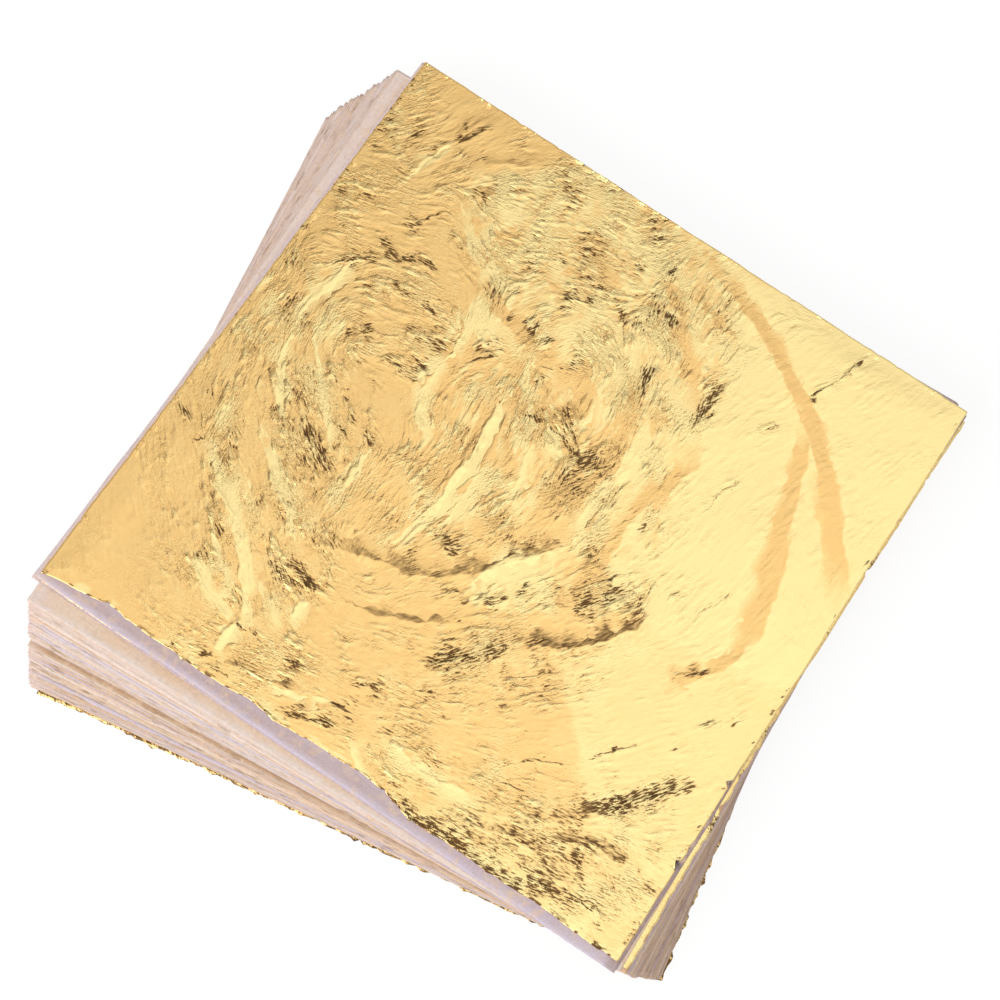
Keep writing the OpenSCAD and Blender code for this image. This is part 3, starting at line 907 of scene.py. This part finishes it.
def tissue_tint(pair, xy, uv):
    """Colour of one tissue. Peach shows where a leaf lies right under it."""
    own = np.random.default_rng(TINT_SEED + pair)
    kind = own.uniform()
    base = LILAC if kind < LILAC_TO or pair < 3 else PAPER if kind < PAPER_TO else PEACH * PEACH_SHARE
    base = base * own.uniform(0.97, 1.09)
    if pair > BROWNER_UNDER and own.uniform() < BROWNER_SHARE:
        base = towards(base, BROWN, own.uniform(0.2, 0.6))
    if pair > BROWNEST_UNDER:
        base = towards(base, BROWN, BROWNEST_SHARE)
    warm = cover(leaf_places[pair + 1], xy, THROUGH_SOFT) if pair < PAIRS else np.zeros(len(xy))
    if pair in SHOWS_THROUGH:
        warm = warm * SHOWS_THROUGH[pair]
    else:
        warm = warm * (THROUGH_LEAST + (1 - THROUGH_LEAST) * own.uniform())
    warm = warm * stirred(0.85, *xy.T, ((0.4, 9),), WARM_SEED + pair)
    tint = towards(base, PEACH, np.clip(warm, 0, 1)[:, None])
    across = uv[:, 0]
    tint = towards(tint, PINK, PINK_SHARE * (1 - smooth_step(across, 0.012, 0.03))[:, None])
    # Painted shade under the tissue's own leaf and a painted shadow along that leaf's rim, then painted shade
    # at the right edge and in the nicks.
    near = cover(leaf_places[pair], xy, 1.0)
    tint = darkened(tint, near, UNDER_SHADE_LOSS)
    tint = darkened(tint, 4 * near * (1 - near), RIM_SHADOW_LOSS)
    if pair > 3:
        tint = darkened(tint, smooth_step(across, 0.97, 0.985), RIGHT_SHADE_LOSS)
    if pair == 1:
        tint = darkened(tint, smooth_step(across, 0.975, 0.99), TOP_RIGHT_SHADE_LOSS)
        for place, deep, _ in NICKS:
            tint = darkened(tint, nick_shade(xy, place, deep), NICK_SHADOW_LOSS)
    return tint


def nick_shade(xy, place, deep):
    """Painted shadow: a dark spot on the top tissue, in a nick of the leaf on it."""
    front, rear = leaf_places[1][1:3]
    along = (rear - front) / np.linalg.norm(rear - front)
    shadow_centre = front + along * place - np.array([along[1], -along[0]]) * (NICK_SHADOW_IN * deep)
    return smooth_step(NICK_SHADOW_REACH * deep - np.linalg.norm(xy - shadow_centre, axis=1), 0, 0.7)


def streak_places(pair, uv):
    """Places for the streaks at the edges, in metres: drawn out along each, and apart from the others."""
    across, along = uv.T
    depths = np.stack([along, 1 - across, 1 - along, across])
    side = np.argmin(depths, 0)
    run = np.where(side % 2 == 0, across, along) * TISSUE_SIDE
    level = side * STREAK_APART + pair
    return np.column_stack([run / STREAK_LONG, depths.min(0) * TISSUE_SIDE, level]) * MM


def tissue_sheet(pair):
    """Points and values of one tissue."""
    sides = SINGLE_GRIDS if pair <= SINGLE_PAIRS else PACK_GRIDS
    run, edges = outline(TISSUE_SIDE, TISSUE_SEED + pair, TISSUE_WAVER, 0.0, 0.0)
    reach = EDGE_REACH
    if pair in DRAWN_IN:
        edges[1] = edges[1] - np.interp(run, *np.array(DRAWN_IN[pair]).T)
        reach = DRAWN_REACH
    xy, uv, tops = both_sides(tissue_places[pair], sides, (run, edges), reach)
    z = height_of(PAIRS - pair, xy)
    z[:tops] += TISSUE_THICK
    wear = 0.15 if pair < 4 else 0.5 if pair < 40 else 0.8
    values = {"tint": tissue_tint(pair, xy, uv), "edge": streak_places(pair, uv),
              "wear": np.full(len(xy), wear)}
    return np.column_stack([xy, z]), values


# Materials. Lengths are in metres, scales are per metre, and colours are linear.
# Warm gold is the metal's own colour; pale gold paints highlight where the tone rises, and the dark brown
# gold paints shade.
WARM_GOLD = (0.86, 0.555, 0.212, 1)
PALE_GOLD = (0.93, 0.735, 0.33, 1)
SHADE_BROWN_GOLD = (0.147, 0.079, 0.03, 1)
RUST = (0.36, 0.22, 0.12, 1)
WHITE = (1, 1, 1, 1)
# Length, width and height of the fine strokes, and how much they change the tone, with painted glints, and
# the painted crease shade
STROKE_LONG = 0.0016
STROKE_WIDE = 0.00036
STROKE_RISE = 0.00014
STROKE_TONE, STROKE_CREASE = 3.4, -2.9
STROKE_WAYS = 4
# Crests of the metal as (sharpness, height), and the height of its finest grain
FLECK_CREST, FINE_CREST = (7.0, 0.000025), (6.0, 0.000012)
FINE_RISE = 0.00001
PAPER_RISE = 0.00005
METAL_DULL, PAPER_DULL = (0.11, 0.20), (0.75, 0.95)
# Noises as (features per metre, detail, roughness)
METAL_FLECK, METAL_FINE, METAL_CLOUD = (900, 4, 0.6), (2300, 3, 0.6), (130, 3)
PAPER_FIBRE, PAPER_CLOUD, PAPER_FLECK = (1500, 5, 0.7), (220, 3), (480, 2)
EDGE_STREAK = (1300, 3, 0.6)


def add(tree, kind, inputs=None, **settings):
    """A node with its settings, whose inputs are set to values or linked to sockets."""
    node = tree.nodes.new(kind)
    for key, value in settings.items():
        setattr(node, key, value)
    for key, value in (inputs or {}).items():
        if isinstance(value, bpy.types.NodeSocket):
            tree.links.new(value, node.inputs[key])
        else:
            node.inputs[key].default_value = value
    return node


def math_node(tree, operation, a, b, c=0.0, clamp=False):
    node = add(tree, "ShaderNodeMath", {0: a, 1: b, 2: c}, operation=operation, use_clamp=clamp)
    return node.outputs[0]


def mixed(tree, factor, a, b, blend="MIX"):
    """Colour a turned towards colour b by the factor."""
    inputs = {0: factor, 6: a, 7: b}
    return add(tree, "ShaderNodeMix", inputs, data_type="RGBA", blend_type=blend).outputs[2]


def ranged(tree, value, low, high, to=(0.0, 1.0), smooth=False):
    """A value carried from one range over to another."""
    inputs = {"Value": value, "From Min": low, "From Max": high, "To Min": to[0], "To Max": to[1]}
    kind = "SMOOTHSTEP" if smooth else "LINEAR"
    return add(tree, "ShaderNodeMapRange", inputs, interpolation_type=kind).outputs[0]


def new_material(name):
    material = bpy.data.materials.new(name)
    material.use_nodes = True
    material.node_tree.nodes.clear()
    return material, material.node_tree


def noise_node(tree, place, per_metre, detail, roughness=0.5):
    inputs = {"Vector": place, "Scale": per_metre, "Detail": detail, "Roughness": roughness}
    return add(tree, "ShaderNodeTexNoise", inputs).outputs["Fac"]


def attribute(tree, name, output="Fac"):
    return add(tree, "ShaderNodeAttribute", attribute_name=name).outputs[output]


def crest(tree, value, sharpness, rise):
    """Thin crests of that rise where a noise passes its middle."""
    away = math_node(tree, "ABSOLUTE", math_node(tree, "SUBTRACT", value, 0.5), 0.0)
    near = math_node(tree, "SUBTRACT", 1.0, math_node(tree, "MULTIPLY", away, sharpness), clamp=True)
    return math_node(tree, "MULTIPLY", near, rise)


def strokes(tree, place, way):
    """Fine strokes along the way that each place has, from about -0.3 to 0.3: a blend of stretched noises."""
    parts = add(tree, "ShaderNodeSeparateXYZ", {0: way}).outputs
    total = 0.0
    for k in range(STROKE_WAYS):
        inputs = {"Vector": place, "Rotation": (0, 0, k * math.pi / STROKE_WAYS),
                  "Scale": (STROKE_LONG, STROKE_WIDE, 1)}
        stretch = add(tree, "ShaderNodeMapping", inputs, vector_type="TEXTURE")
        value = math_node(tree, "SUBTRACT", noise_node(tree, stretch.outputs[0], 1.0, 2), 0.5)
        share = math_node(tree, "MULTIPLY", parts[k % 2], 1.0 if k < 2 else -1.0, clamp=True)
        total = math_node(tree, "MULTIPLY_ADD", value, share, total)
    return total


def shade_with(tree, colour, rise, dull, **more):
    """Shader and output of a material, with its fine relief."""
    bump = add(tree, "ShaderNodeBump", {"Height": rise, "Strength": 1.0, "Distance": 1.0})
    inputs = {"Base Color": colour, "Roughness": dull, "Normal": bump.outputs[0], **more}
    shader = add(tree, "ShaderNodeBsdfPrincipled", inputs)
    add(tree, "ShaderNodeOutputMaterial", {"Surface": shader.outputs[0]})


def metal_material():
    """Bright metal leaf: warm gold, pale gold of painted highlight, dark brown of painted shade in the
    creases, finely crinkled.
    """
    material, tree = new_material("metal_leaf")
    place = add(tree, "ShaderNodeTexCoord").outputs["Object"]
    tone, crease, crumple = (attribute(tree, name) for name in ("tone", "crease", "crumple"))
    fleck = noise_node(tree, place, *METAL_FLECK)
    fine = noise_node(tree, place, *METAL_FINE)
    cloud = noise_node(tree, place, *METAL_CLOUD)
    stroke = strokes(tree, place, attribute(tree, "way", "Vector"))
    # Painted glints: strokes and flecks push the tone towards pale or warm, more where the leaf is crumpled.
    fleck_glints = math_node(tree, "ADD", math_node(tree, "MULTIPLY", stroke, STROKE_TONE),
                      math_node(tree, "SUBTRACT", fleck, 0.5))
    tone = math_node(tree, "MULTIPLY_ADD", fleck_glints, crumple, tone)
    tone = math_node(tree, "MULTIPLY_ADD", math_node(tree, "SUBTRACT", cloud, 0.5), 0.3, tone)
    gold = mixed(tree, math_node(tree, "ADD", tone, 0.0, clamp=True), WARM_GOLD, PALE_GOLD)
    # Painted shade: crease shade and crumpling turn the gold towards dark brown, broken up by the strokes.
    depth = math_node(tree, "MULTIPLY_ADD", crumple, math_node(tree, "ADD", crease, 1.0), 0.1)
    painted_shade = math_node(tree, "MULTIPLY_ADD", math_node(tree, "MULTIPLY", stroke, STROKE_CREASE), depth, crease)
    gold = mixed(tree, ranged(tree, painted_shade, 0.28, 1.0, smooth=True), gold, SHADE_BROWN_GOLD)
    rise = math_node(tree, "ADD", crest(tree, fleck, *FLECK_CREST), crest(tree, fine, *FINE_CREST))
    rise = math_node(tree, "MULTIPLY", math_node(tree, "MULTIPLY_ADD", stroke, STROKE_RISE, rise), crumple)
    rise = math_node(tree, "MULTIPLY_ADD", fine, FINE_RISE, rise)
    shade_with(tree, gold, rise, ranged(tree, cloud, 0.0, 1.0, METAL_DULL), Metallic=1.0)
    return material


def tissue_material():
    """Soft paper: matt, with short fibres and a tint for each sheet."""
    material, tree = new_material("tissue_paper")
    place = add(tree, "ShaderNodeTexCoord").outputs["Object"]
    tint = attribute(tree, "tint", "Vector")
    fibre = noise_node(tree, place, *PAPER_FIBRE)
    cloud = noise_node(tree, place, *PAPER_CLOUD)
    fleck = noise_node(tree, place, *PAPER_FLECK)
    shade = ranged(tree, fibre, 0.3, 0.7, (0.86, 1.05))
    grey = add(tree, "ShaderNodeCombineColor", {0: shade, 1: shade, 2: shade}).outputs[0]
    warm = math_node(tree, "MULTIPLY", math_node(tree, "SUBTRACT", fleck, 0.52, clamp=True), 3.0, clamp=True)
    paper = mixed(tree, warm, tint, (*PEACH, 1))
    streak = noise_node(tree, attribute(tree, "edge", "Vector"), *EDGE_STREAK)
    rust = math_node(tree, "MULTIPLY", ranged(tree, streak, 0.53, 0.70), attribute(tree, "wear"))
    paper = mixed(tree, rust, paper, RUST)
    paper = mixed(tree, 1.0, paper, grey, "MULTIPLY")
    rise = math_node(tree, "MULTIPLY", math_node(tree, "ADD", fibre, cloud), PAPER_RISE)
    shade_with(tree, paper, rise, ranged(tree, cloud, 0.0, 1.0, PAPER_DULL), **{"Specular IOR Level": 0.25})
    return material


METAL = metal_material()
TISSUE = tissue_material()


def place_piece(node, sheets, faces):
    """One piece for a node, from its sheets."""
    quads, triangles = faces
    starts = np.arange(len(sheets)) * len(sheets[0][0])
    points = np.concatenate([points for points, _ in sheets])
    values = {key: np.concatenate([v[key] for _, v in sheets]) for key in sheets[0][1]}
    all_quads = np.concatenate([quads + start for start in starts])
    all_triangles = np.concatenate([triangles + start for start in starts])
    piece = make_piece(node + "_sheet", points, all_quads, all_triangles, values)
    is_leaf = "tone" in values
    piece.data.materials.append(METAL if is_leaf else TISSUE)
    body = "_".join(node.split("_")[:2])
    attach(piece, body)
    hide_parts(node)


for node in sorted(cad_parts):
    build = leaf_sheet if "lea" in node else tissue_sheet
    if node == "leaf_1":
        place_piece(node, [top_leaf_sheet()], TOP_LEAF_GRIDS[2])
    else:
        sides = PACK_GRIDS if node.startswith("pack") else SINGLE_GRIDS
        place_piece(node, [build(pair) for pair in pairs_of(node)], sides[2])


# Camera, floor and light
FLOOR_HALF = 3000.0
FLOOR_WHITE, FLOOR_GLOW, FLOOR_SHARE = (0.9, 0.9, 0.9, 1), 1.08, 0.78
LAMP_DISTANCE = 1.3
# Brightness of the sky by how far a direction lies along each of two level axes, from -1 to 1
SKY_RIGHT = (0.945, -0.33, 0.0)
SKY_RIGHT_LEVELS = [(-1, 1.1), (-.8, .5), (-.62, .22), (-.5, .34), (-.36, .76), (-.24, 1.06), (-.12, 1.16),
                    (.0, 1.26), (.15, 1.34), (.35, 1.2), (.6, .7), (.85, .35), (1, .2)]
SKY_BACK = (0.33, 0.945, 0.0)
SKY_BACK_LEVELS = [(-1, .5), (-.5, .85), (-.2, 1.1), (.0, 1.05), (.263, 1.0), (.4, .92), (.55, .66),
                   (.7, .46), (.9, .34), (1, .3)]
# Height, from 0 at the horizon to 1 overhead, up to which the sky grows to its full brightness, and the share
# that it has at the horizon. Between the other two heights, mirrors see it turn white.
SKY_FULL_AT, SKY_LEAST = 0.45, 0.5
MIRROR_SKY_FROM, MIRROR_WHITE_AT = 0.6, 0.3
DIM_SKY = (1, 0.88, 0.78, 1)


def set_camera():
    camera = bpy.data.cameras.new("photo_camera")
    camera.sensor_width = SENSOR_MM
    camera.lens = FOCAL_PX / PHOTO_SIDE * SENSOR_MM
    camera.clip_start, camera.clip_end = 0.01, 50
    holder = bpy.data.objects.new("photo_camera", camera)
    bpy.context.scene.collection.objects.link(holder)
    turn = Matrix([RIGHT, UP, BACK]).transposed().to_4x4()
    holder.matrix_world = Matrix.Translation(Vector(CAMERA_PLACE * MM)) @ turn
    bpy.context.scene.camera = holder


def set_floor():
    """Pale floor that reads white, and keeps a soft shadow."""
    points = np.array([(x, y, 0) for x, y in WAYS * FLOOR_HALF])
    floor = make_piece("floor", points, np.array([[0, 1, 2, 3]]), np.zeros((0, 3), int), {})
    material, tree = new_material("pale_floor")
    path = add(tree, "ShaderNodeLightPath")
    seen = math_node(tree, "MAXIMUM", path.outputs["Is Camera Ray"], path.outputs["Is Glossy Ray"])
    share = math_node(tree, "MULTIPLY", seen, FLOOR_SHARE)
    matt = add(tree, "ShaderNodeBsdfDiffuse", {"Color": FLOOR_WHITE})
    white = add(tree, "ShaderNodeEmission", {"Color": WHITE, "Strength": FLOOR_GLOW})
    both = add(tree, "ShaderNodeMixShader", {0: share, 1: matt.outputs[0], 2: white.outputs[0]})
    add(tree, "ShaderNodeOutputMaterial", {"Surface": both.outputs[0]})
    floor.data.materials.append(material)


def sky_levels(tree, direction, axis, levels):
    """Brightness along one level axis, from a ramp that holds half of it."""
    aimed = add(tree, "ShaderNodeVectorMath", {0: direction, 1: axis}, operation="DOT_PRODUCT")
    ramp = add(tree, "ShaderNodeValToRGB", {"Fac": ranged(tree, aimed.outputs["Value"], -1.0, 1.0)})
    marks = ramp.color_ramp.elements
    while len(marks) < len(levels):
        marks.new(0.5)
    for mark, (at, level) in zip(marks, levels):
        mark.position = (at + 1) / 2
        mark.color = (level / 2, level / 2, level / 2, 1)
    return math_node(tree, "MULTIPLY", ramp.outputs["Color"], 2.0)


def set_sky():
    """Soft studio sky, brighter towards the photograph's lower right. The camera sees it white."""
    world = bpy.data.worlds.new("studio")
    bpy.context.scene.world = world
    world.use_nodes = True
    tree = world.node_tree
    tree.nodes.clear()
    direction = add(tree, "ShaderNodeTexCoord").outputs["Generated"]
    right = sky_levels(tree, direction, SKY_RIGHT, SKY_RIGHT_LEVELS)
    back = sky_levels(tree, direction, SKY_BACK, SKY_BACK_LEVELS)
    upward = add(tree, "ShaderNodeSeparateXYZ", {0: direction}).outputs["Z"]
    rise = ranged(tree, upward, 0.0, SKY_FULL_AT, (SKY_LEAST, 1.0), smooth=True)
    level = math_node(tree, "MULTIPLY", math_node(tree, "MULTIPLY", right, back), rise)
    path = add(tree, "ShaderNodeLightPath")
    low = ranged(tree, upward, MIRROR_SKY_FROM, MIRROR_WHITE_AT)
    mirrored = math_node(tree, "MULTIPLY", path.outputs["Is Glossy Ray"], low)
    seen = math_node(tree, "MAXIMUM", path.outputs["Is Camera Ray"], mirrored)
    cool = math_node(tree, "MULTIPLY", level, 1.25, clamp=True)
    tint = mixed(tree, cool, DIM_SKY, WHITE)
    studio = add(tree, "ShaderNodeBackground", {"Color": tint, "Strength": level})
    white = add(tree, "ShaderNodeBackground", {"Color": WHITE, "Strength": 1.0})
    both = add(tree, "ShaderNodeMixShader", {0: seen, 1: studio.outputs[0], 2: white.outputs[0]})
    add(tree, "ShaderNodeOutputWorld", {"Surface": both.outputs[0]})


def set_lamp(name, direction, size, watts):
    """Large soft lamp that faces the pile, in metres."""
    lamp = bpy.data.lights.new(name, "AREA")
    lamp.shape = "DISK"
    lamp.size = size
    lamp.energy = watts
    holder = bpy.data.objects.new(name, lamp)
    holder.location = Vector(direction).normalized() * LAMP_DISTANCE
    holder.rotation_euler = Vector(direction).to_track_quat("Z", "Y").to_euler()
    holder.visible_camera = False
    bpy.context.scene.collection.objects.link(holder)


bpy.context.scene.view_settings.view_transform = "Standard"
set_camera()
set_floor()
set_sky()
set_lamp("soft_key", (-0.55, -0.8, 0.5), 1.4, 11)
